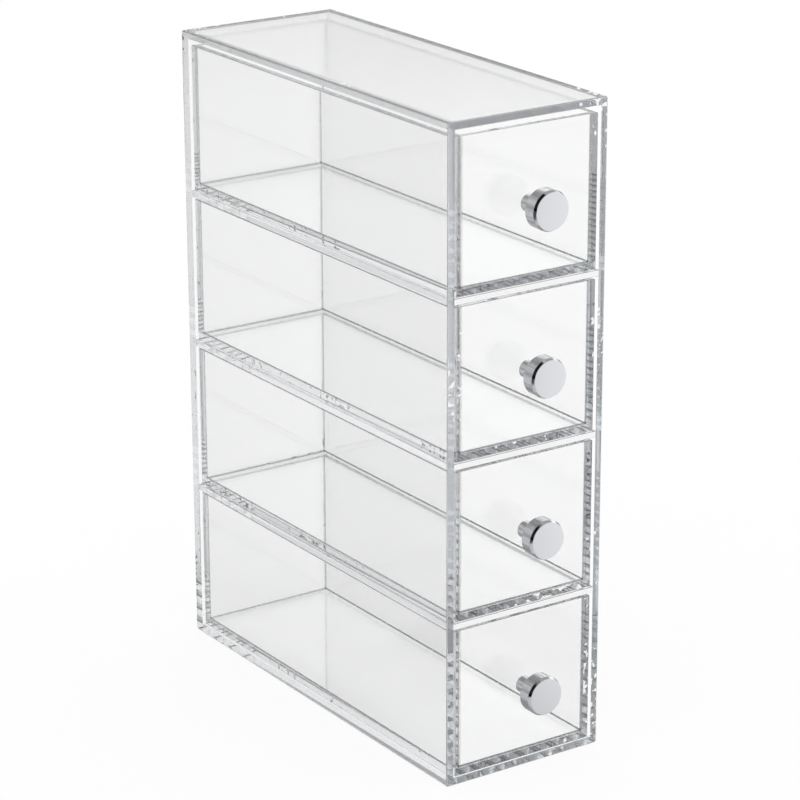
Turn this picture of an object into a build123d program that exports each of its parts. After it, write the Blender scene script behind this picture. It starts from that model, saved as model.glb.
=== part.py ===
"""Clear acrylic cosmetics organiser: a tall, open-fronted case of glued sheet with three
fixed shelves, and four equal drawers, each pulled by a turned metal knob on a stud.

Millimetres. +Z is up, the drawers open towards -Y, and +X is to the right of someone who
faces them. The origin is the centre of the case's underside.
"""

import os

from build123d import *

# ---- Driving dimensions -------------------------------------------------------------

# Case
case_width = 70.0
case_depth = 182.0
case_height = 254.0
case_wall = 3.0            # outer sheet: sides, back, top and bottom
case_edge_radius = 0.9     # polished rounding of the case's outer edges
shelf_thickness = 2.5
drawer_count = 4
top_headroom = 1.7         # the top compartment is this much higher than the others
bond_line = 0.05           # film of cement between two glued sheets

# Running clearances of a drawer in its compartment
side_clearance = 1.0       # each side
floor_clearance = 0.2      # under the drawer
rim_clearance = 0.9        # over its rim
rear_clearance = 0.5       # behind it, when it is closed
front_recess = 0.3         # from the case's front edges back to the closed drawer

# Drawer
drawer_wall = 2.5
drawer_base = 3.0
drawer_edge_radius = 0.5   # polished rounding of the drawer's outer edges

# Knob and its stud
knob_head_diameter = 15.3
knob_head_length = 6.6
knob_bevel_radial = 0.6    # bevel round the face, across the radius
knob_bevel_axial = 1.4     # the same bevel, along the axis
knob_stem_diameter = 6.6
knob_stem_length = 8.3
knob_back_chamfer = 0.3    # broken edge round the back of the head
knob_rise = 0.8            # of the knob's axis above the middle of the drawer
stud_diameter = 4.0
stud_clearance = 0.05      # round the stud, in the drawer's front and in the knob
stud_grip = 9.0            # length of stud inside the knob
stud_tip_chamfer = 0.5
bore_run_out = 0.8         # the knob's blind bore goes this much deeper than the stud

# ---- Sizes that follow --------------------------------------------------------------

inner_width = case_width - 2 * case_wall
case_front = -case_depth / 2
case_back = case_depth / 2
back_panel_face = case_back - case_wall
glued_width = inner_width - 2 * bond_line
glued_depth = back_panel_face - bond_line - case_front
shelf_count = drawer_count - 1
clear_height = case_height - 2 * case_wall - shelf_count * shelf_thickness - top_headroom
compartment_height = clear_height / drawer_count

drawer_width = inner_width - 2 * side_clearance
drawer_front = case_front + front_recess
drawer_back = back_panel_face - rear_clearance
drawer_length = drawer_back - drawer_front
drawer_middle = (drawer_front + drawer_back) / 2
drawer_height = compartment_height - floor_clearance - rim_clearance
drawer_wall_height = drawer_height - drawer_base - bond_line
drawer_inner_width = drawer_width - 2 * drawer_wall

knob_seat = drawer_front - bond_line
knob_head_radius = knob_head_diameter / 2
knob_stem_radius = knob_stem_diameter / 2
knob_length = knob_stem_length + knob_head_length
stud_bore_radius = stud_diameter / 2 + stud_clearance

pieces = {}


def compartment_floor(level):
    """Height of the surface that the drawer stands on, with level 0 the lowest."""
    return case_wall + level * (compartment_height + shelf_thickness)


def finish(piece, label):
    """Names a finished piece and keeps it for writing."""
    piece.part.label = label
    pieces[label] = piece.part


# ---- Case ---------------------------------------------------------------------------

# The whole case as one rounded block: each outer sheet is cut to it, so that the rounding
# runs on across the glued joints.
with BuildPart() as case_envelope:
    with BuildSketch(Plane.XY):
        Rectangle(case_width, case_depth)
    extrude(amount=case_height)
    fillet(case_envelope.edges(), radius=case_edge_radius)


def case_sheet(label, plane, width, height, thickness):
    """A sheet of the case, centred on a plane and grown along its normal."""
    with BuildPart() as sheet:
        with BuildSketch(plane):
            Rectangle(width, height)
        extrude(amount=thickness)
        add(case_envelope.part, mode=Mode.INTERSECT)
    finish(sheet, label)


half_inner = inner_width / 2
middle_height = case_height / 2
glued_middle = case_front + glued_depth / 2

left_plane = Plane(origin=(-half_inner, 0, middle_height), x_dir=(0, 1, 0), z_dir=(-1, 0, 0))
right_plane = Plane(origin=(half_inner, 0, middle_height), x_dir=(0, 1, 0), z_dir=(1, 0, 0))
case_sheet("case_left_side", left_plane, case_depth, case_height, case_wall)
case_sheet("case_right_side", right_plane, case_depth, case_height, case_wall)

back_plane = Plane(origin=(0, back_panel_face, middle_height), x_dir=(1, 0, 0), z_dir=(0, 1, 0))
case_sheet("case_back", back_plane, glued_width, case_height, case_wall)


def level_plane(height):
    """The plane that a level sheet of the case lies on."""
    return Plane(origin=(0, glued_middle, height), x_dir=(1, 0, 0), z_dir=(0, 0, 1))


case_sheet("case_bottom", level_plane(0), glued_width, glued_depth, case_wall)
top_underside = case_height - case_wall
case_sheet("case_top", level_plane(top_underside), glued_width, glued_depth, case_wall)

for number in range(1, shelf_count + 1):
    underside = compartment_floor(number) - shelf_thickness
    case_sheet(
        f"shelf_{number}", level_plane(underside), glued_width, glued_depth, shelf_thickness
    )

# ---- Drawers ------------------------------------------------------------------------


def build_drawer(number, floor):
    """One drawer: a base, two sides that stand on it, a front and a back between them,
    and the knob on its stud. Drawer 1 is the highest."""
    name = f"drawer_{number}"
    base_level = floor + floor_clearance
    wall_level = base_level + drawer_base + bond_line
    knob_level = base_level + drawer_height / 2 + knob_rise

    with BuildPart() as envelope:
        with BuildSketch(Plane.XY.offset(base_level)):
            with Locations((0, drawer_middle)):
                Rectangle(drawer_width, drawer_length)
        extrude(amount=drawer_height)
        fillet(envelope.edges(), radius=drawer_edge_radius)

    with BuildPart() as base:
        with BuildSketch(Plane.XY.offset(base_level)):
            with Locations((0, drawer_middle)):
                Rectangle(drawer_width, drawer_length)
        extrude(amount=drawer_base)
        add(envelope.part, mode=Mode.INTERSECT)
    finish(base, f"{name}_bottom")

    for side, direction in (("left", -1), ("right", 1)):
        centre = direction * (drawer_inner_width + drawer_wall) / 2
        with BuildPart() as wall:
            with BuildSketch(Plane.XY.offset(wall_level)):
                with Locations((centre, drawer_middle)):
                    Rectangle(drawer_wall, drawer_length)
            extrude(amount=drawer_wall_height)
            add(envelope.part, mode=Mode.INTERSECT)
        finish(wall, f"{name}_{side}_side")

    cross_width = drawer_inner_width - 2 * bond_line
    with BuildPart() as back:
        with BuildSketch(Plane.XY.offset(wall_level)):
            with Locations((0, drawer_back - drawer_wall / 2)):
                Rectangle(cross_width, drawer_wall)
        extrude(amount=drawer_wall_height)
        add(envelope.part, mode=Mode.INTERSECT)
    finish(back, f"{name}_back")

    with BuildPart() as front:
        with BuildSketch(Plane.XY.offset(wall_level)):
            with Locations((0, drawer_front + drawer_wall / 2)):
                Rectangle(cross_width, drawer_wall)
        extrude(amount=drawer_wall_height)
        add(envelope.part, mode=Mode.INTERSECT)
        with BuildSketch(Plane.XZ.offset(-drawer_front)):
            with Locations((0, knob_level)):
                Circle(stud_bore_radius)
        extrude(amount=drawer_wall, both=True, mode=Mode.SUBTRACT)
    finish(front, f"{name}_front")

    build_knob(name, knob_level)


def build_knob(name, level):
    """The turned knob, with a blind bore up its stem, and the stud that holds it. The
    profiles lie in the level plane through the axis: radius along X, length along -Y."""
    axis = Axis((0, 0, level), (0, 1, 0))
    head_start = knob_seat - knob_stem_length
    face = knob_seat - knob_length
    bore_end = knob_seat - stud_grip - bore_run_out

    with BuildPart() as knob:
        with BuildSketch(Plane.XY.offset(level)):
            with BuildLine():
                Polyline(
                    (stud_bore_radius, knob_seat),
                    (knob_stem_radius, knob_seat),
                    (knob_stem_radius, head_start),
                    (knob_head_radius - knob_back_chamfer, head_start),
                    (knob_head_radius, head_start - knob_back_chamfer),
                    (knob_head_radius, face + knob_bevel_axial),
                    (knob_head_radius - knob_bevel_radial, face),
                    (0, face),
                    (0, bore_end),
                    (stud_bore_radius, bore_end),
                    close=True,
                )
            make_face()
        revolve(axis=axis)
    finish(knob, f"{name}_knob")

    stud_radius = stud_diameter / 2
    stud_tip = knob_seat - stud_grip
    stud_root = drawer_front + drawer_wall
    with BuildPart() as stud:
        with BuildSketch(Plane.XY.offset(level)):
            with BuildLine():
                Polyline(
                    (0, stud_root),
                    (stud_radius, stud_root),
                    (stud_radius, stud_tip + stud_tip_chamfer),
                    (stud_radius - stud_tip_chamfer, stud_tip),
                    (0, stud_tip),
                    close=True,
                )
            make_face()
        revolve(axis=axis)
    finish(stud, f"{name}_knob_stud")


for number in range(1, drawer_count + 1):
    build_drawer(number, compartment_floor(drawer_count - number))

# ---- Writing ------------------------------------------------------------------------

os.makedirs("parts", exist_ok=True)
for label, solid in pieces.items():
    export_step(solid, f"parts/{label}.step")

print(f"pieces {len(pieces)}")
print(f"compartment {compartment_height:.2f} high, drawer {drawer_height:.2f} high")
print(f"drawer {drawer_width:.2f} wide, {drawer_length:.2f} long")
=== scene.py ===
"""The looks of a clear acrylic cosmetics organiser.

An open-fronted case of cemented sheet with three fixed shelves holds four drawers, each pulled
by a turned chrome knob on a stud. Lengths are metres in the CAD model's frame: +Z is up, the
drawers open towards -Y, and the origin is the centre of the case's underside.
"""
from __future__ import annotations

import logging
import math
from abc import ABC, abstractmethod
from dataclasses import dataclass
from enum import Enum

import bmesh
import bpy
from mathutils import Matrix, Vector


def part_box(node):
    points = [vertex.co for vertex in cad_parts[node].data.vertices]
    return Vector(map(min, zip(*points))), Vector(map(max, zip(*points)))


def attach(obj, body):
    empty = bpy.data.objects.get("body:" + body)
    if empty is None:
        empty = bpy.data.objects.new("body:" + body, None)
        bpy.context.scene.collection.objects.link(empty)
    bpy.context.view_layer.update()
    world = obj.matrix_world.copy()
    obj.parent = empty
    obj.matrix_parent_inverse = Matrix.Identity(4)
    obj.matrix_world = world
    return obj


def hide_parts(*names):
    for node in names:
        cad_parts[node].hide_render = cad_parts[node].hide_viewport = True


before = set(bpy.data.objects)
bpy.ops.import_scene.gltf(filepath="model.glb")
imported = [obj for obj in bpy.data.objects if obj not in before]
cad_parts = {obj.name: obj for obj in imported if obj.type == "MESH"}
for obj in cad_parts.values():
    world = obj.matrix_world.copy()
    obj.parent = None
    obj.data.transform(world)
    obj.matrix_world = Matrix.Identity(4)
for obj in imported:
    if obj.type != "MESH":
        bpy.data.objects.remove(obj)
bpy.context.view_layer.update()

log = logging.getLogger("organiser")

MM = 0.001
DRAWER_COUNT = 4
SHELF_COUNT = 3

TOUCHING = 0.001 * MM                        # points this close are one
SMOOTH_LIMIT = math.cos(math.radians(40))    # faces that turn by less are shaded as one
STRAIGHT_ON = math.radians(170)              # an outline runs on where it opens wider
CUT_MARK = "cut"                             # the attribute that holds each face's Cut
CUT_MARGIN = 0.01                            # marks that differ by less are the same
WAVES_PER_UNIT = 20 / math.tau               # bands of a wave texture in a unit, at scale 1
SMOOTH_STEP = {"interpolation_type": "SMOOTHSTEP"}

# What a node's input takes
Source = float | tuple[float, ...] | bpy.types.NodeSocket | bpy.types.Node


class Face(Enum):
    """The six faces of a sheet: the axis that each one is square to, and its sign on it."""

    LEFT = (0, -1)
    RIGHT = (0, 1)
    FRONT = (1, -1)
    BACK = (1, 1)
    UNDER = (2, -1)
    TOP = (2, 1)


ENDS = {Face.FRONT, Face.BACK}


class Cut(Enum):
    """How a face of a sheet is worked, as the mark that its shader reads."""

    CAST = 0.0        # as the sheet was cast, between plates of glass
    POLISHED = 0.5    # sawn, scraped and polished
    EASED = 0.62      # a corner broken with a scraper and buffed over
    SCRAPED = 1.0     # sawn and only scraped


# ---- Shader building -----------------------------------------------------------------


def linear(hex_colour: str) -> tuple[float, float, float, float]:
    """Turns an sRGB hex colour into the linear values that a shader takes.

    Args:
        hex_colour: Six hex digits, such as "F2F4F5".

    Returns:
        Red, green and blue in linear light, and an alpha of 1.
    """
    def channel(start: int) -> float:
        """One channel in linear light, from its two digits."""
        value = int(hex_colour[start:start + 2], 16) / 255
        return value / 12.92 if value <= 0.04045 else ((value + 0.055) / 1.055) ** 2.4
    return channel(0), channel(2), channel(4), 1.0


def add_node(tree: bpy.types.NodeTree, kind: str, settings: dict[str, str] | None = None,
             **inputs: Source) -> bpy.types.Node:
    """Adds a node with its settings, values and links.

    Args:
        tree: The tree that gets the node.
        kind: The node's type name.
        settings: The node's own properties, such as its operation.
        **inputs: A value for each input, or what is linked to it: an output socket, or a node,
            whose first output is meant. The key is the input's name with underscores for
            spaces, or in_0 for the first input and so on.

    Returns:
        The new node.
    """
    node = tree.nodes.new(kind)
    for key, value in (settings or {}).items():
        setattr(node, key, value)
    for key, value in inputs.items():
        number = key.removeprefix("in_")
        socket = node.inputs[int(number) if number.isdigit() else key.replace("_", " ")]
        if isinstance(value, bpy.types.Node):
            value = value.outputs[0]
        if isinstance(value, bpy.types.NodeSocket):
            tree.links.new(value, socket)
        else:
            socket.default_value = value
    return node


def new_material(name: str) -> tuple[bpy.types.Material, bpy.types.NodeTree]:
    """Makes an empty node material.

    Args:
        name: The finish's name.

    Returns:
        The material and its tree.
    """
    material = bpy.data.materials.new(name)
    material.use_nodes = True
    material.node_tree.nodes.clear()
    return material, material.node_tree


# ---- Finishes ------------------------------------------------------------------------


@dataclass(frozen=True)
class CastAcrylic:
    """Cast acrylic sheet, sawn to size, its edges polished or only scraped.

    The cast faces are glass smooth and nearly without colour, so the eye sees them only by
    what they mirror, unless handling has made them hazy. Light that runs along a sheet leaves
    at its edges, which look grey, and the saw's traces under their polish break it into bright
    and dark flecks. A scraped edge is matt and white, and an eased corner is slightly matt.
    """

    name: str = "cast_acrylic"
    surface: str = "FDFDFD"
    ior: float = 1.49
    depth_colour: str = "CACED2"
    absorption_per_m: float = 7.0
    cast_roughness: float = 0.0        # above 0 where handling has made the sheet hazy
    polished_roughness: float = 0.01
    scraped_roughness: float = 0.35
    scraped_clear: float = 0.12        # share of the light that a scraped face lets through
    trace_length: float = 10.0 * MM    # of the saw's traces under the polish
    trace_depth: float = 0.008 * MM
    fleck_length: float = 2.4 * MM     # of the matt flecks that the polish missed
    fleck_from: float = 0.735          # the noise's level where a fleck begins and is whole
    fleck_to: float = 0.76
    patch_length: float = 40.0 * MM    # of the stretches where the flecks crowd
    patch_share: float = 0.8
    fine_share: float = 0.4            # how much half as long traces and flecks count

    def traces(self, tree: bpy.types.NodeTree, place: bpy.types.NodeSocket,
               sawn: bpy.types.Node) -> bpy.types.Node:
        """Makes the bump of the saw's traces.

        Args:
            tree: The tree that gets the nodes.
            place: The point on the sheet.
            sawn: How much the traces show there.

        Returns:
            The bump.
        """
        trace = add_node(tree, "ShaderNodeTexNoise", Vector=place, Scale=1 / self.trace_length,
                         Detail=1.0, Roughness=self.fine_share)
        return add_node(tree, "ShaderNodeBump", Strength=sawn, Distance=self.trace_depth,
                        Height=trace.outputs["Fac"])

    def mattness(self, tree: bpy.types.NodeTree, place: bpy.types.NodeSocket,
                 cut: bpy.types.NodeSocket) -> bpy.types.Node:
        """Works out how matt a spot is: scraped all over, or polished with flecks left in it.

        Args:
            tree: The tree that gets the nodes.
            place: The point on the sheet.
            cut: The mark of how its face is worked.

        Returns:
            The share, 1 for scraped.
        """
        fleck = add_node(tree, "ShaderNodeTexNoise", Vector=place, Scale=1 / self.fleck_length,
                         Detail=1.0, Roughness=self.fine_share)
        patch = add_node(tree, "ShaderNodeTexNoise", Vector=place,
                         Scale=1 / self.patch_length, Detail=0.0)
        crowd = add_node(tree, "ShaderNodeMath", {"operation": "MULTIPLY_ADD"},
                         in_0=patch.outputs["Fac"], in_1=self.patch_share,
                         in_2=fleck.outputs["Fac"])
        flecked = add_node(tree, "ShaderNodeMapRange", Value=crowd,
                           From_Min=self.fleck_from + self.patch_share / 2,
                           From_Max=self.fleck_to + self.patch_share / 2)
        polished = add_node(tree, "ShaderNodeMath", {"operation": "COMPARE"}, in_0=cut,
                            in_1=Cut.POLISHED.value, in_2=CUT_MARGIN)
        missed = add_node(tree, "ShaderNodeMath", {"operation": "MULTIPLY"}, in_0=flecked,
                          in_1=polished)
        scraped = add_node(tree, "ShaderNodeMapRange", Value=cut,
                           From_Min=Cut.POLISHED.value, From_Max=Cut.SCRAPED.value)
        return add_node(tree, "ShaderNodeMath", {"operation": "MAXIMUM"}, in_0=missed,
                        in_1=scraped)

    def build(self) -> bpy.types.Material:
        """Makes the material.

        Returns:
            The material.
        """
        material, tree = new_material(self.name)
        place = add_node(tree, "ShaderNodeTexCoord").outputs["Object"]
        cut = add_node(tree, "ShaderNodeAttribute", {"attribute_name": CUT_MARK}).outputs["Fac"]
        sawn = add_node(tree, "ShaderNodeMapRange", Value=cut, From_Max=Cut.POLISHED.value)
        matt = self.mattness(tree, place, cut)
        smooth = add_node(tree, "ShaderNodeMapRange", Value=sawn, To_Min=self.cast_roughness,
                          To_Max=self.polished_roughness)
        rough = add_node(tree, "ShaderNodeMapRange", Value=matt, To_Min=smooth,
                         To_Max=self.scraped_roughness)
        clear = add_node(tree, "ShaderNodeMapRange", Value=matt, To_Min=1.0,
                         To_Max=self.scraped_clear)
        shader = add_node(tree, "ShaderNodeBsdfPrincipled", Base_Color=linear(self.surface),
                          IOR=self.ior, Transmission_Weight=clear, Roughness=rough,
                          Normal=self.traces(tree, place, sawn))
        depth = add_node(tree, "ShaderNodeVolumeAbsorption", Color=linear(self.depth_colour),
                         Density=self.absorption_per_m)
        add_node(tree, "ShaderNodeOutputMaterial", Surface=shader, Volume=depth)
        return material


@dataclass(frozen=True)
class CementRunOut:
    """Acrylic cement that ran out of a joint and set in its inner corner.

    The narrow concave strip bends the light aside, so that the corner shows as a grey line.
    """

    name: str = "acrylic_cement"
    surface: str = "F0F1F2"
    ior: float = 1.49
    roughness: float = 0.25
    bubble_size: float = 4.0 * MM
    bubble_share: float = 0.5        # how much rougher and smoother the bubbles make it

    def build(self) -> bpy.types.Material:
        """Makes the material.

        Returns:
            The material.
        """
        material, tree = new_material(self.name)
        place = add_node(tree, "ShaderNodeTexCoord").outputs["Object"]
        bubbles = add_node(tree, "ShaderNodeTexNoise", Vector=place,
                           Scale=1 / self.bubble_size, Detail=2.0)
        haze = add_node(tree, "ShaderNodeMapRange", Value=bubbles.outputs["Fac"],
                        To_Min=self.roughness * (1 - self.bubble_share),
                        To_Max=self.roughness * (1 + self.bubble_share))
        shader = add_node(tree, "ShaderNodeBsdfPrincipled", Base_Color=linear(self.surface),
                          IOR=self.ior, Transmission_Weight=1.0, Roughness=haze)
        add_node(tree, "ShaderNodeOutputMaterial", Surface=shader)
        return material


@dataclass(frozen=True)
class ChromePlate:
    """Bright chrome plate over turned brass, buffed round its sides and satin on its face.

    The buffed sides mirror the room in crisp dark and light bands. The face was only brushed
    by the lathe's last cut, and spreads the light into an even, pale grey.
    """

    name: str = "chrome_plate"
    colour: str = "DCDDE0"
    roughness: float = 0.05
    face_roughness: float = 0.22
    face_from: float = -0.95         # the normal's y where the face begins and is whole
    face_to: float = -0.99
    wobble_size: float = 3.0 * MM
    wobble_depth: float = 0.008 * MM

    def build(self) -> bpy.types.Material:
        """Makes the material.

        Returns:
            The material.
        """
        material, tree = new_material(self.name)
        place = add_node(tree, "ShaderNodeTexCoord").outputs["Object"]
        wobble = add_node(tree, "ShaderNodeTexNoise", Vector=place,
                          Scale=1 / self.wobble_size, Detail=1.0)
        bump = add_node(tree, "ShaderNodeBump", Strength=1.0, Distance=self.wobble_depth,
                        Height=wobble.outputs["Fac"])
        shape = add_node(tree, "ShaderNodeNewGeometry")
        facing = add_node(tree, "ShaderNodeSeparateXYZ", in_0=shape.outputs["True Normal"])
        rough = add_node(tree, "ShaderNodeMapRange", Value=facing.outputs["Y"],
                         From_Min=self.face_from, From_Max=self.face_to, To_Min=self.roughness,
                         To_Max=self.face_roughness)
        shader = add_node(tree, "ShaderNodeBsdfPrincipled", Base_Color=linear(self.colour),
                          Metallic=1.0, Roughness=rough, Normal=bump)
        add_node(tree, "ShaderNodeOutputMaterial", Surface=shader)
        return material


@dataclass(frozen=True)
class TurnedSteel:
    """Zinc-plated steel rod, turned to length.

    The plating is a bluish grey, and the lathe's fine rings stretch its highlights.
    """

    name: str = "zinc_plated_steel"
    colour: str = "BFC2C6"
    roughness: float = 0.24
    ring_pitch: float = 0.12 * MM
    ring_depth: float = 0.003 * MM
    ring_stray: float = 0.4          # how far the rings stray from true

    def build(self) -> bpy.types.Material:
        """Makes the material.

        Returns:
            The material.
        """
        material, tree = new_material(self.name)
        place = add_node(tree, "ShaderNodeTexCoord").outputs["Object"]
        rings = add_node(tree, "ShaderNodeTexWave", {"bands_direction": "Y"}, Vector=place,
                         Scale=1 / self.ring_pitch / WAVES_PER_UNIT,
                         Distortion=self.ring_stray)
        bump = add_node(tree, "ShaderNodeBump", Strength=1.0, Distance=self.ring_depth,
                        Height=rings.outputs["Fac"])
        shader = add_node(tree, "ShaderNodeBsdfPrincipled", Base_Color=linear(self.colour),
                          Metallic=1.0, Roughness=self.roughness, Normal=bump)
        add_node(tree, "ShaderNodeOutputMaterial", Surface=shader)
        return material


@dataclass(frozen=True)
class BackgroundPaper:
    """White background paper, matt and even to the camera, lit until it burns out. Its glow in
    mirrors holds a painted shadow close beside the case.
    """

    name: str = "background_paper"
    glow: float = 0.92               # what the paper shows without the room's light
    paper: str = "505050"

    def build(self, studio: Studio) -> bpy.types.Material:
        """Makes the material.

        Args:
            studio: The room, which says how the paper looks in a mirror.

        Returns:
            The material.
        """
        material, tree = new_material(self.name)
        where = add_node(tree, "ShaderNodeNewGeometry").outputs["Position"]
        reach = add_node(tree, "ShaderNodeVectorMath", {"operation": "LENGTH"}, in_0=where)
        before_wall = add_node(tree, "ShaderNodeMapRange", SMOOTH_STEP,
                               Value=reach.outputs["Value"], From_Min=studio.wall_foot,
                               From_Max=studio.wall_whole, To_Min=1.0, To_Max=0.0)
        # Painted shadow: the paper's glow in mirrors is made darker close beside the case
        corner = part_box("case_left_side")[0]
        beside = add_node(tree, "ShaderNodeVectorMath", {"operation": "MULTIPLY"}, in_0=where,
                          in_1=(1 / corner.x, 1 / corner.y, 0))
        beside = add_node(tree, "ShaderNodeVectorMath", {"operation": "LENGTH"}, in_0=beside)
        painted_shadow = add_node(tree, "ShaderNodeMapRange", SMOOTH_STEP, Value=beside.outputs["Value"],
                         From_Min=1.0, From_Max=studio.painted_shadow_reach, To_Min=studio.painted_shadow_level)
        mirrored = add_node(tree, "ShaderNodeMath", {"operation": "MULTIPLY"}, in_0=painted_shadow,
                            in_1=studio.side(tree, where, before_wall))
        glow = add_node(tree, "ShaderNodeEmission", Color=linear("FFFFFF"),
                        Strength=studio.level(tree, where, mirrored, self.glow))
        matt = add_node(tree, "ShaderNodeBsdfDiffuse", Color=linear(self.paper))
        both = add_node(tree, "ShaderNodeAddShader", in_0=glow, in_1=matt)
        add_node(tree, "ShaderNodeOutputMaterial", Surface=both)
        return material


# ---- Studio --------------------------------------------------------------------------


@dataclass
class Studio:
    """A white room for clear things: its background is lit until it burns out, and what the
    object mirrors is dimmer, with lamps at the right, a dark wall far off at the left and a
    black card beside the object."""

    paper_side: float = 24.0
    paper_drop: float = 0.1 * MM     # the paper gives way under the case's edges
    burnt_out: float = 1.02          # the background's level through clear sheets
    left_level: float = 0.60         # the mirrored room's level on the left
    left_from: float = -0.30         # where, along X, it begins and ends to be brighter
    left_to: float = 0.82
    wall_level: float = 0.06         # what is left of it on the wall on the left
    wall_from: float = -0.20         # where, along X, the wall begins and is whole
    wall_to: float = -0.45
    wall_foot: float = 1.0           # how far off its foot begins and is whole
    wall_whole: float = 1.4
    wall_top: float = 0.10           # sine of the elevation where its top begins and ends
    wall_end: float = 0.26
    wall_veiled: float = 0.25        # how much of it light shows that comes through a sheet
    horizon_level: float = 0.76      # the level of the horizon on the right
    horizon_from: float = 0.225      # sine of the elevation where the lamps above it begin
    horizon_to: float = 0.27         # and are whole
    lamp_level: float = 1.42
    ceiling_from: float = 0.45       # the same for the ceiling over them
    ceiling_to: float = 0.70
    ceiling_level: float = 0.45
    painted_shadow_level: float = 0.55         # painted shadow: the level of the paper's mirrored glow close beside the object
    painted_shadow_reach: float = 1.8          # how far that goes, in half widths and lengths of the case
    card_edge: float = 0.90          # cosine of half the angle that the card's edge takes
    card_core: float = 0.97          # and of the angle in which it is whole
    card_depth: float = 0.97         # how much light it takes away
    card_near: float = 0.06          # how far off the card's foot begins and is whole
    card_far: float = 0.12
    mirrorings: int = 160            # a ray's most: a sheet's inside mirrors a hundred times

    def along_x(self, tree: bpy.types.NodeTree,
                where: bpy.types.NodeSocket) -> bpy.types.NodeSocket:
        """Works out how far right a direction or a point is.

        Args:
            tree: The tree that gets the nodes.
            where: The direction, or the point on the floor.

        Returns:
            The share, from -1 on the left to 1 on the right.
        """
        flat = add_node(tree, "ShaderNodeVectorMath", {"operation": "MULTIPLY"}, in_0=where,
                        in_1=(1, 1, 0))
        way = add_node(tree, "ShaderNodeVectorMath", {"operation": "NORMALIZE"}, in_0=flat)
        return add_node(tree, "ShaderNodeSeparateXYZ", in_0=way).outputs["X"]

    def side(self, tree: bpy.types.NodeTree, where: bpy.types.NodeSocket,
             open_share: bpy.types.Node) -> bpy.types.Node:
        """Works out the mirrored room's level from left to right.

        Args:
            tree: The tree that gets the nodes.
            where: The direction, or the point on the floor.
            open_share: How much of the wall on the left is out of the way there.

        Returns:
            The level.
        """
        aside = self.along_x(tree, where)
        level = add_node(tree, "ShaderNodeMapRange", SMOOTH_STEP, Value=aside,
                         From_Min=self.left_from, From_Max=self.left_to,
                         To_Min=self.left_level)
        shut = add_node(tree, "ShaderNodeMath", {"operation": "SUBTRACT"}, in_0=1.0,
                        in_1=open_share)
        rays = add_node(tree, "ShaderNodeLightPath")
        seen = add_node(tree, "ShaderNodeMapRange", Value=rays.outputs["Is Reflection Ray"],
                        To_Min=self.wall_veiled)
        shut = add_node(tree, "ShaderNodeMath", {"operation": "MULTIPLY"}, in_0=shut,
                        in_1=seen)
        left = add_node(tree, "ShaderNodeMath", {"operation": "SUBTRACT"}, in_0=1.0, in_1=shut)
        wall = add_node(tree, "ShaderNodeMath", {"operation": "MAXIMUM"}, in_0=left,
                        in_1=self.wall_level)
        wall = add_node(tree, "ShaderNodeMapRange", SMOOTH_STEP, Value=aside,
                        From_Min=self.wall_from, From_Max=self.wall_to, To_Min=1.0,
                        To_Max=wall)
        return add_node(tree, "ShaderNodeMath", {"operation": "MULTIPLY"}, in_0=level,
                        in_1=wall)

    def card(self, tree: bpy.types.NodeTree, where: bpy.types.NodeSocket,
             rays: bpy.types.Node) -> bpy.types.Node:
        """Works out how much of the mirrored light the black card takes away.

        Args:
            tree: The tree that gets the nodes.
            where: The direction, or the point on the floor.
            rays: The light path.

        Returns:
            The share.
        """
        card = add_node(tree, "ShaderNodeMapRange", SMOOTH_STEP, Value=self.along_x(tree, where),
                        From_Min=-self.card_edge, From_Max=-self.card_core,
                        To_Max=self.card_depth)
        reach = add_node(tree, "ShaderNodeVectorMath", {"operation": "LENGTH"}, in_0=where)
        beyond = add_node(tree, "ShaderNodeMapRange", SMOOTH_STEP, Value=reach.outputs["Value"],
                          From_Min=self.card_near, From_Max=self.card_far)
        card = add_node(tree, "ShaderNodeMath", {"operation": "MULTIPLY"}, in_0=card,
                        in_1=beyond)
        return add_node(tree, "ShaderNodeMath", {"operation": "MULTIPLY"}, in_0=card,
                        in_1=rays.outputs["Is Reflection Ray"])

    def level(self, tree: bpy.types.NodeTree, where: bpy.types.NodeSocket,
              mirrored: bpy.types.Node, plain: float) -> bpy.types.Node:
        """Works out how bright the room is for the ray that looks at it.

        Args:
            tree: The tree that gets the nodes.
            where: The direction, or the point on the floor.
            mirrored: Its level for a ray that was mirrored on its way.
            plain: Its level for the camera and for matt surfaces.

        Returns:
            The level.
        """
        rays = add_node(tree, "ShaderNodeLightPath")
        left = add_node(tree, "ShaderNodeMath", {"operation": "SUBTRACT"}, in_0=1.0,
                        in_1=self.card(tree, where, rays))
        mirror = add_node(tree, "ShaderNodeMath", {"operation": "MULTIPLY"}, in_0=mirrored,
                          in_1=left)
        bounced = add_node(tree, "ShaderNodeMath", {"operation": "GREATER_THAN"},
                           in_0=rays.outputs["Glossy Depth"], in_1=0.5)
        clear = add_node(tree, "ShaderNodeMix", {"data_type": "FLOAT"}, in_0=bounced,
                         in_2=self.burnt_out, in_3=mirror)
        matt = add_node(tree, "ShaderNodeMath", {"operation": "MINIMUM"},
                        in_0=rays.outputs["Diffuse Depth"], in_1=1.0)
        even = add_node(tree, "ShaderNodeMath", {"operation": "MAXIMUM"},
                        in_0=rays.outputs["Is Camera Ray"], in_1=matt)
        return add_node(tree, "ShaderNodeMix", {"data_type": "FLOAT"}, in_0=even, in_2=clear,
                        in_3=plain)

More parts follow.
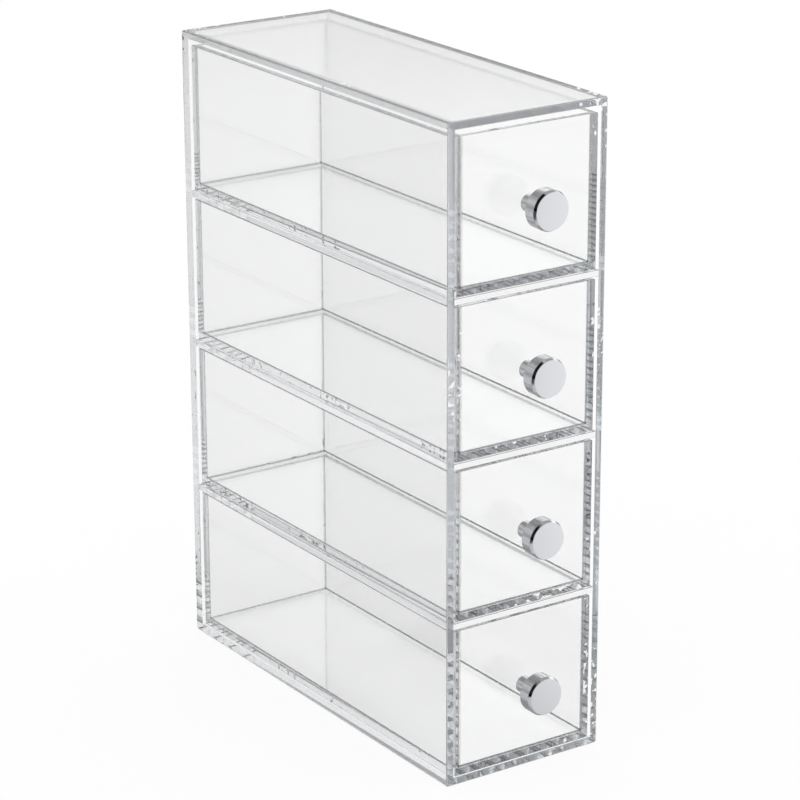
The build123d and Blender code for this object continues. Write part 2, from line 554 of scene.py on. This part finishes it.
    def light(self) -> None:
        """Makes the world."""
        world = bpy.data.worlds.new("studio")
        bpy.context.scene.world = world
        world.use_nodes = True
        tree = world.node_tree
        tree.nodes.clear()
        way = add_node(tree, "ShaderNodeTexCoord").outputs["Generated"]
        height = add_node(tree, "ShaderNodeSeparateXYZ", in_0=way).outputs["Z"]
        lamps = add_node(tree, "ShaderNodeMapRange", SMOOTH_STEP, Value=height,
                         From_Min=self.horizon_from, From_Max=self.horizon_to,
                         To_Min=self.horizon_level, To_Max=self.lamp_level)
        left, right = (add_node(tree, "ShaderNodeMapRange", SMOOTH_STEP, Value=height,
                                From_Min=self.ceiling_from, From_Max=self.ceiling_to,
                                To_Min=below, To_Max=self.ceiling_level)
                       for below in (1.0, lamps))
        upper = add_node(tree, "ShaderNodeMapRange", SMOOTH_STEP, Value=self.along_x(tree, way),
                         From_Min=self.left_from, From_Max=self.left_to, To_Min=left,
                         To_Max=right)
        over_wall = add_node(tree, "ShaderNodeMapRange", SMOOTH_STEP, Value=height,
                             From_Min=self.wall_top, From_Max=self.wall_end)
        room = add_node(tree, "ShaderNodeMath", {"operation": "MULTIPLY"}, in_0=upper,
                        in_1=self.side(tree, way, over_wall))
        sky = add_node(tree, "ShaderNodeBackground", Color=linear("FFFFFF"),
                       Strength=self.level(tree, way, room, 1.0))
        add_node(tree, "ShaderNodeOutputWorld", Surface=sky)

    def lay_paper(self) -> None:
        """Lays the background paper on the floor."""
        half, height = self.paper_side / 2, -self.paper_drop
        mesh = bpy.data.meshes.new("floor_paper")
        mesh.from_pydata([(-half, -half, height), (half, -half, height), (half, half, height),
                          (-half, half, height)], [], [(0, 1, 2, 3)])
        mesh.materials.append(BackgroundPaper().build(self))
        floor = bpy.data.objects.new("floor_paper", mesh)
        bpy.context.scene.collection.objects.link(floor)

    def set_up(self) -> None:
        """Makes the floor and the light, and sets what the renderer has to follow."""
        self.lay_paper()
        self.light()
        scene = bpy.context.scene
        scene.view_settings.view_transform = "Standard"
        scene.cycles.max_bounces = self.mirrorings
        scene.cycles.transmission_bounces = self.mirrorings
        scene.cycles.glossy_bounces = self.mirrorings


@dataclass
class PhotoCamera:
    """The photograph's camera, fitted to the case's seven visible corners."""

    frame_px: float = 800.0          # the photograph is square
    focal_px: float = 3158.0
    azimuth_deg: float = -34.07      # from straight in front, towards the left
    elevation_deg: float = 19.01
    roll_deg: float = -0.18
    distance: float = 1.1937         # from the case's front edge at the floor
    right: float = -0.0463           # from there to the picture's middle, across the view
    up: float = 0.1378
    sensor_mm: float = 36.0
    clip_near: float = 0.05
    clip_far: float = 50.0

    def place(self) -> None:
        """Makes the camera and makes it the scene's."""
        azimuth, elevation = math.radians(self.azimuth_deg), math.radians(self.elevation_deg)
        back = Vector((math.sin(azimuth) * math.cos(elevation),
                       -math.cos(azimuth) * math.cos(elevation), math.sin(elevation)))
        level = Vector((0, 0, 1)).cross(back).normalized()
        roll = Matrix.Rotation(math.radians(self.roll_deg), 3, back)
        right, up = roll @ level, roll @ back.cross(level)
        data = bpy.data.cameras.new("camera")
        data.sensor_width = self.sensor_mm
        data.lens = self.focal_px * self.sensor_mm / self.frame_px
        data.clip_start, data.clip_end = self.clip_near, self.clip_far
        camera = bpy.data.objects.new("camera", data)
        bpy.context.scene.collection.objects.link(camera)
        front = Vector((0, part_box("case_left_side")[0].y, 0))
        spot = front + right * self.right + up * self.up + back * self.distance
        turn = Matrix((right, up, back)).transposed().to_4x4()
        camera.matrix_world = Matrix.Translation(spot) @ turn
        bpy.context.scene.camera = camera


# ---- Sheets --------------------------------------------------------------------------


@dataclass(frozen=True)
class EdgeWork:
    """How the edges of a box's sheets are rounded."""

    long_round: float                # of outside edges that run from front to back
    outer_round: float               # of the other outside edges
    arris: float = 0.2 * MM          # of inner edges beside a sawn face
    segments: int = 4


@dataclass
class Sheet:
    """One sheet of acrylic, which stands for a node of the same name in the frame."""

    node: str
    body: str
    edges: EdgeWork
    outer: tuple[Face, ...] = ()             # faces on the outside of the case or drawer
    cemented: tuple[Face, ...] = ()          # faces that are cemented to a neighbour
    arrised: tuple[Face, ...] = ()           # sawn faces whose inner edges are eased
    scraped: tuple[Face, ...] = ()           # sawn faces that weren't polished
    wetting: float = 0.07 * MM               # how far a cemented face reaches into the joint

    def corners(self) -> tuple[Vector, Vector]:
        """Works out the sheet's corners, its cemented faces in touch.

        Returns:
            The lowest and the highest corner.
        """
        low, high = (corner.copy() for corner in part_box(self.node))
        for face in self.cemented:
            axis, sign = face.value
            (low if sign < 0 else high)[axis] += sign * self.wetting
        return low, high

    def build(self, finish: bpy.types.Material) -> bpy.types.Object:
        """Makes the sheet.

        Args:
            finish: The acrylic.

        Returns:
            The sheet, riding on its body.
        """
        low, high = self.corners()
        shell = bmesh.new()
        mark = shell.faces.layers.float.new(CUT_MARK)
        bmesh.ops.create_cube(shell, size=1.0)
        for vertex in shell.verts:
            vertex.co = Vector((high[i] if vertex.co[i] > 0 else low[i] for i in range(3)))
        thin = min(range(3), key=lambda axis: high[axis] - low[axis])
        for side in shell.faces:
            face = self.face_of(side, low, high)
            side[mark] = self.cut(face, face.value[0] == thin).value
        for width, wanted in ((self.edges.long_round, self.is_long),
                              (self.edges.outer_round, self.is_end),
                              (self.edges.arris, self.is_arris)):
            picked = [edge for edge in shell.edges
                      if wanted(*(self.face_of(side, low, high) for side in edge.link_faces))]
            if picked:
                bmesh.ops.bevel(shell, geom=picked, offset=width, offset_type="OFFSET",
                                segments=self.edges.segments, profile=0.5, affect="EDGES",
                                clamp_overlap=True)
        for side in shell.faces:
            if self.face_of(side, low, high) is None:
                side[mark] = Cut.EASED.value
        return finish_piece(shell, f"{self.node}_sheet", self.body, finish, (self.node,))

    def face_of(self, side: bmesh.types.BMFace, low: Vector, high: Vector) -> Face | None:
        """Finds which of the sheet's faces a side of its shell is.

        Args:
            side: The side.
            low: The sheet's lowest corner.
            high: Its highest corner.

        Returns:
            The face, or none for a side of a rounding.
        """
        for face in Face:
            axis, sign = face.value
            level = low[axis] if sign < 0 else high[axis]
            if all(abs(vertex.co[axis] - level) < TOUCHING for vertex in side.verts):
                return face
        return None

    def cut(self, face: Face, broad: bool) -> Cut:
        """Works out how a face is worked.

        Args:
            face: The face.
            broad: Whether it is one of the sheet's two broad faces.

        Returns:
            Its cut. Cement wets a sawn face until it is as clear as a broad one.
        """
        if broad or face in self.cemented:
            return Cut.CAST
        return Cut.SCRAPED if face in self.scraped else Cut.POLISHED

    def is_long(self, one: Face | None, other: Face | None) -> bool:
        """Whether an edge between two faces is an outside one that runs from front to back."""
        return one in self.outer and other in self.outer and not {one, other} & ENDS

    def is_end(self, one: Face | None, other: Face | None) -> bool:
        """Whether an edge is on the outline of an outside end, across roundings (None) too."""
        pair = {one, other}
        return bool(pair & ENDS & set(self.outer)) and pair <= {*self.outer, None}

    def is_arris(self, one: Face | None, other: Face | None) -> bool:
        """Whether an edge between two faces is an eased one, beside a sawn face."""
        pair = {one, other}
        return bool(pair & set(self.arrised)) and not pair & {*self.cemented, None} \
            and not pair <= set(self.outer)


def ease_normals(mesh: bpy.types.Mesh) -> None:
    """Runs the roundings smoothly into the flats beside them, and leaves the flats flat.

    Each corner of a face takes the mean normal of the faces round it that turn by less than
    a limit, weighed by their areas.

    Args:
        mesh: The mesh.
    """
    around = [[] for _ in mesh.vertices]
    for side in mesh.polygons:
        for corner in side.vertices:
            around[corner].append((side.normal.copy(), side.area))
    normals = []
    for side in mesh.polygons:
        for corner in side.vertices:
            near = [normal * area for normal, area in around[corner]
                    if normal.dot(side.normal) > SMOOTH_LIMIT]
            normals.append(sum(near, Vector()).normalized())
    mesh.shade_smooth()
    mesh.normals_split_custom_set(normals)


def finish_piece(shell: bmesh.types.BMesh, name: str, body: str, finish: bpy.types.Material,
                 nodes: tuple[str, ...]) -> bpy.types.Object:
    """Turns a shell into a piece of the object.

    Args:
        shell: The shell, which is freed.
        name: The piece's name.
        body: The body that it rides on.
        finish: Its material.
        nodes: The frame's nodes that it stands for.

    Returns:
        The piece.
    """
    bmesh.ops.recalc_face_normals(shell, faces=shell.faces)
    mesh = bpy.data.meshes.new(name)
    shell.to_mesh(mesh)
    shell.free()
    ease_normals(mesh)
    mesh.materials.append(finish)
    piece = bpy.data.objects.new(name, mesh)
    bpy.context.scene.collection.objects.link(piece)
    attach(piece, body)
    if nodes:
        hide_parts(*nodes)
    log.info("%s: %d faces on %s", name, len(mesh.polygons), body)
    return piece


# ---- Case ----------------------------------------------------------------------------


@dataclass
class Case:
    """The case: two sides, and between them a back, a bottom, a top and the shelves."""

    body: str = "case"
    edges: EdgeWork = EdgeWork(long_round=0.9 * MM, outer_round=0.45 * MM)
    top_haze: float = 0.09           # roughness of the top, which things are put down on

    def sheets(self) -> list[Sheet]:
        """Lists the case's sheets.

        Returns:
            The sheets, not yet built.
        """
        body, edges = self.body, self.edges
        ends = (Face.FRONT, Face.BACK, Face.UNDER, Face.TOP)
        front = (Face.FRONT,)
        across = (Face.LEFT, Face.RIGHT)
        inserted = (*across, Face.BACK)
        return [
            Sheet("case_left_side", body, edges, outer=(Face.LEFT, *ends), arrised=front),
            Sheet("case_right_side", body, edges, outer=(Face.RIGHT, *ends), arrised=front),
            Sheet("case_back", body, edges, outer=(Face.BACK, Face.UNDER, Face.TOP),
                  cemented=across),
            Sheet("case_bottom", body, edges, outer=(Face.FRONT, Face.UNDER),
                  cemented=inserted, arrised=front),
            Sheet("case_top", body, edges, outer=(Face.FRONT, Face.TOP), cemented=inserted,
                  arrised=front),
            *(Sheet(f"shelf_{number}", body, edges, cemented=inserted, arrised=front,
                    scraped=front)
              for number in range(1, SHELF_COUNT + 1)),
        ]

    def build(self, acrylic: bpy.types.Material) -> None:
        """Builds the case's sheets.

        Args:
            acrylic: The material of all but the top.
        """
        handled = CastAcrylic("handled_acrylic", cast_roughness=self.top_haze).build()
        for sheet in self.sheets():
            sheet.build(handled if sheet.node == "case_top" else acrylic)


# ---- Knob and stud -------------------------------------------------------------------


@dataclass
class TurnedPiece(ABC):
    """A piece of a drawer, turned about an axis along Y, its corners slightly broken."""

    drawer: str                      # the drawer's body, which the piece rides on
    part: str                        # the piece's name after the drawer's
    slot: str
    steps: int                       # in one turn
    edge_break: float = 0.12 * MM
    break_segments: int = 3

    @property
    def node(self) -> str:
        """The node that the piece stands for."""
        return f"{self.drawer}_{self.part}"

    @abstractmethod
    def profile(self) -> list[tuple[float, float]]:
        """The turned outline's points, each a radius and a y."""

    def build(self, finish: bpy.types.Material) -> bpy.types.Object:
        """Turns the piece. An outline that starts off the axis is closed.

        Args:
            finish: Its material.

        Returns:
            The piece.
        """
        axis, profile = axis_of(self.node), self.profile()
        shell = bmesh.new()
        points = [shell.verts.new((axis.x + radius, y, axis.z)) for radius, y in profile]
        for start, end in zip(points, points[1:]):
            shell.edges.new((start, end))
        if profile[0][0] > 0:
            shell.edges.new((points[-1], points[0]))
        inner = [point for point in points if len(point.link_edges) == 2 and is_corner(point)]
        bmesh.ops.bevel(shell, geom=inner, offset=self.edge_break, offset_type="OFFSET",
                        segments=self.break_segments, profile=0.5, affect="VERTICES")
        bmesh.ops.spin(shell, geom=shell.verts[:] + shell.edges[:], cent=axis, axis=(0, 1, 0),
                       angle=math.tau, steps=self.steps, use_merge=True)
        bmesh.ops.remove_doubles(shell, verts=shell.verts, dist=TOUCHING)
        return finish_piece(shell, f"{self.node}_turned", self.drawer, finish, (self.node,))


def is_corner(point: bmesh.types.BMVert) -> bool:
    """Whether an outline turns by more than a few degrees at a point."""
    one, other = (edge.other_vert(point).co - point.co for edge in point.link_edges)
    return one.angle(other) < STRAIGHT_ON


def axis_of(node: str) -> Vector:
    """The point at y = 0 on a turned node's axis, which runs along Y."""
    low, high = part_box(node)
    return Vector(((low.x + high.x) / 2, 0, (low.z + high.z) / 2))


@dataclass
class Knob(TurnedPiece):
    """A turned knob: a stem and a head with a wide bevel round its face."""

    part: str = "knob"
    slot: str = "polished_chrome"
    steps: int = 96
    stem_diameter: float = 6.6 * MM
    head_length: float = 6.6 * MM
    bevel_radial: float = 0.6 * MM
    bevel_axial: float = 1.4 * MM
    back_chamfer: float = 0.3 * MM
    bore_diameter: float = 4.1 * MM
    bore_depth: float = 9.8 * MM
    dome_rise: float = 0.28 * MM     # of the face's centre over its rim
    dome_steps: int = 6

    def profile(self) -> list[tuple[float, float]]:
        """Works out the turned outline.

        Returns:
            (radius, y) points from the bore's mouth round the outside to the bore's end.
        """
        low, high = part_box(self.node)
        radius, seat, face = (high.x - low.x) / 2, high.y, low.y
        head = face + self.head_length
        stem, bore = self.stem_diameter / 2, self.bore_diameter / 2
        return [
            (bore, seat),
            (stem, seat),
            (stem, head),
            (radius - self.back_chamfer, head),
            (radius, head - self.back_chamfer),
            (radius, face + self.bevel_axial),
            *self.dome(radius - self.bevel_radial, face),
            (0.0, seat - self.bore_depth),
            (bore, seat - self.bore_depth),
        ]

    def dome(self, rim: float, face: float) -> list[tuple[float, float]]:
        """The slightly domed face's outline, from its rim at a radius to its centre."""
        return [(rim * (1 - step / self.dome_steps),
                 face + self.dome_rise * (1 - step / self.dome_steps) ** 2)
                for step in range(self.dome_steps + 1)]


@dataclass
class Stud(TurnedPiece):
    """The bright steel stud that holds a knob, flush with the inside of the drawer's front."""

    part: str = "knob_stud"
    slot: str = "stud_steel"
    steps: int = 48
    tip_chamfer: float = 0.5 * MM

    def profile(self) -> list[tuple[float, float]]:
        """Works out the turned outline.

        Returns:
            (radius, y) points from the flush end to the tip inside the knob.
        """
        low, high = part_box(self.node)
        radius = (high.x - low.x) / 2
        return [
            (0.0, high.y),
            (radius, high.y),
            (radius, low.y + self.tip_chamfer),
            (radius - self.tip_chamfer, low.y),
            (0.0, low.y),
        ]


# ---- Drawer --------------------------------------------------------------------------


@dataclass
class Drawer:
    """A drawer: a base, two sides that stand on it, a front and a back between them, the run-out
    of cement in its inner corners, and the knob on its stud."""

    number: int
    edges: EdgeWork = EdgeWork(long_round=0.35 * MM, outer_round=0.35 * MM)
    run_out: float = 0.48 * MM       # radius of the cement in an inner corner
    run_out_hold: float = 0.06 * MM  # how far the cement reaches into the sheets
    run_out_steps: int = 5
    hole_diameter: float = 4.1 * MM
    hole_steps: int = 64
    drill_length: float = 3.0        # in thicknesses of the front

    @property
    def body(self) -> str:
        """The body that the drawer's pieces ride on."""
        return f"drawer_{self.number}"

    def sheets(self) -> list[Sheet]:
        """Lists the drawer's sheets.

        Returns:
            The sheets, not yet built.
        """
        name, edges = self.body, self.edges
        ends = (Face.FRONT, Face.BACK)
        rim, foot = (Face.TOP,), (Face.UNDER,)
        inserted = (Face.LEFT, Face.RIGHT, Face.UNDER)
        return [
            Sheet(f"{name}_bottom", name, edges, outer=(*ends, Face.LEFT, Face.RIGHT, *foot)),
            Sheet(f"{name}_left_side", name, edges, outer=(*ends, Face.LEFT, *rim),
                  cemented=foot, arrised=rim),
            Sheet(f"{name}_right_side", name, edges, outer=(*ends, Face.RIGHT, *rim),
                  cemented=foot, arrised=rim),
            Sheet(f"{name}_front", name, edges, outer=(Face.FRONT, *rim), cemented=inserted,
                  arrised=rim),
            Sheet(f"{name}_back", name, edges, outer=(Face.BACK, *rim), cemented=inserted,
                  arrised=rim),
        ]

    def room(self) -> tuple[Vector, Vector]:
        """Works out the space inside the drawer.

        Returns:
            Its lowest and its highest corner.
        """
        name = self.body
        low = Vector((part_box(f"{name}_left_side")[1].x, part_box(f"{name}_front")[1].y,
                      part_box(f"{name}_bottom")[1].z))
        high = Vector((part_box(f"{name}_right_side")[0].x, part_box(f"{name}_back")[0].y,
                       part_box(f"{name}_left_side")[1].z))
        return low, high

    def bead(self, shell: bmesh.types.BMesh, start: Vector, end: Vector, one: Vector,
             other: Vector) -> None:
        """Adds the run-out of cement along one inner corner.

        Args:
            shell: The shell that gets it.
            start: Where the corner starts.
            end: Where it ends.
            one: The way along one of its two faces, out of the corner.
            other: The way along the other face.
        """
        radius, hold = self.run_out, self.run_out_hold
        # Two flanks in the sheets, and a hollow quarter circle between them
        section = [(-hold, -hold), (radius, -hold)]
        for step in range(self.run_out_steps + 1):
            angle = math.radians(270 - 90 * step / self.run_out_steps)
            section.append((radius + radius * math.cos(angle), radius + radius * math.sin(angle)))
        section.append((-hold, radius))
        rings = [[shell.verts.new(at + one * u + other * v) for u, v in section]
                 for at in (start, end)]
        count = len(section)
        for index in range(count):
            after = (index + 1) % count
            shell.faces.new((rings[0][index], rings[0][after], rings[1][after], rings[1][index]))
        shell.faces.new(rings[0][::-1])
        shell.faces.new(rings[1])

    def build_run_out(self, cement: bpy.types.Material) -> bpy.types.Object:
        """Makes the run-out of cement in all the inner corners.

        Args:
            cement: Its material.

        Returns:
            The run-out, one piece.
        """
        low, high = self.room()
        ends = ((low, 1), (high, -1))    # a corner of the room, and the way in from it
        shell = bmesh.new()
        shell.faces.layers.float.new(CUT_MARK)
        up = Vector((0, 0, 1))
        for side, way in ends:
            across, inward = Vector((way, 0, 0)), Vector((0, way, 0))
            for end, turn in ends:
                self.bead(shell, Vector((side.x, end.y, low.z)),
                          Vector((side.x, end.y, high.z - self.edges.arris)), across,
                          Vector((0, turn, 0)))
            self.bead(shell, Vector((side.x, low.y, low.z)), Vector((side.x, high.y, low.z)),
                      across, up)
            self.bead(shell, Vector((low.x, side.y, low.z)), Vector((high.x, side.y, low.z)),
                      inward, up)
        return finish_piece(shell, f"{self.body}_cement_run_out", self.body, cement, ())

    def drill(self, front: bpy.types.Object) -> None:
        """Drills the stud's hole through the front.

        Args:
            front: The drawer's front sheet.
        """
        axis = axis_of(f"{self.body}_knob")
        low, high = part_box(f"{self.body}_front")
        turn = Matrix.Rotation(math.radians(90), 4, "X")
        middle = Vector((axis.x, (low.y + high.y) / 2, axis.z))
        cutter = bmesh.new()
        bmesh.ops.create_cone(cutter, cap_ends=True, segments=self.hole_steps,
                              radius1=self.hole_diameter / 2, radius2=self.hole_diameter / 2,
                              depth=self.drill_length * (high.y - low.y),
                              matrix=Matrix.Translation(middle) @ turn)
        cutter.faces.layers.float.new(CUT_MARK)
        mesh = bpy.data.meshes.new("drill")
        cutter.to_mesh(mesh)
        cutter.free()
        drill = bpy.data.objects.new("drill", mesh)
        bpy.context.scene.collection.objects.link(drill)
        cut = front.modifiers.new("hole", "BOOLEAN")
        cut.operation, cut.solver, cut.object = "DIFFERENCE", "EXACT", drill
        bpy.context.view_layer.update()
        graph = bpy.context.evaluated_depsgraph_get()
        drilled = bpy.data.meshes.new_from_object(front.evaluated_get(graph))
        front.modifiers.clear()
        front.data = drilled
        ease_normals(drilled)
        bpy.data.objects.remove(drill)

    def build(self, acrylic: bpy.types.Material, cement: bpy.types.Material,
              chrome: bpy.types.Material, steel: bpy.types.Material) -> None:
        """Builds the drawer with its knob and stud.

        Args:
            acrylic: The sheets' material.
            cement: The run-out's.
            chrome: The knob's.
            steel: The stud's.
        """
        for sheet in self.sheets():
            piece = sheet.build(acrylic)
            if sheet.node.endswith("_front"):
                self.drill(piece)
        self.build_run_out(cement)
        Knob(self.body).build(chrome)
        Stud(self.body).build(steel)


# ---- Scene ---------------------------------------------------------------------------


def main() -> None:
    """Builds the scene."""
    logging.basicConfig(level=logging.INFO)
    PhotoCamera().place()
    Studio().set_up()
    acrylic = CastAcrylic().build()
    cement = CementRunOut().build()
    chrome = ChromePlate().build()
    steel = TurnedSteel().build()
    Case().build(acrylic)
    for number in range(1, DRAWER_COUNT + 1):
        Drawer(number).build(acrylic, cement, chrome, steel)


if __name__ == "__main__":
    main()
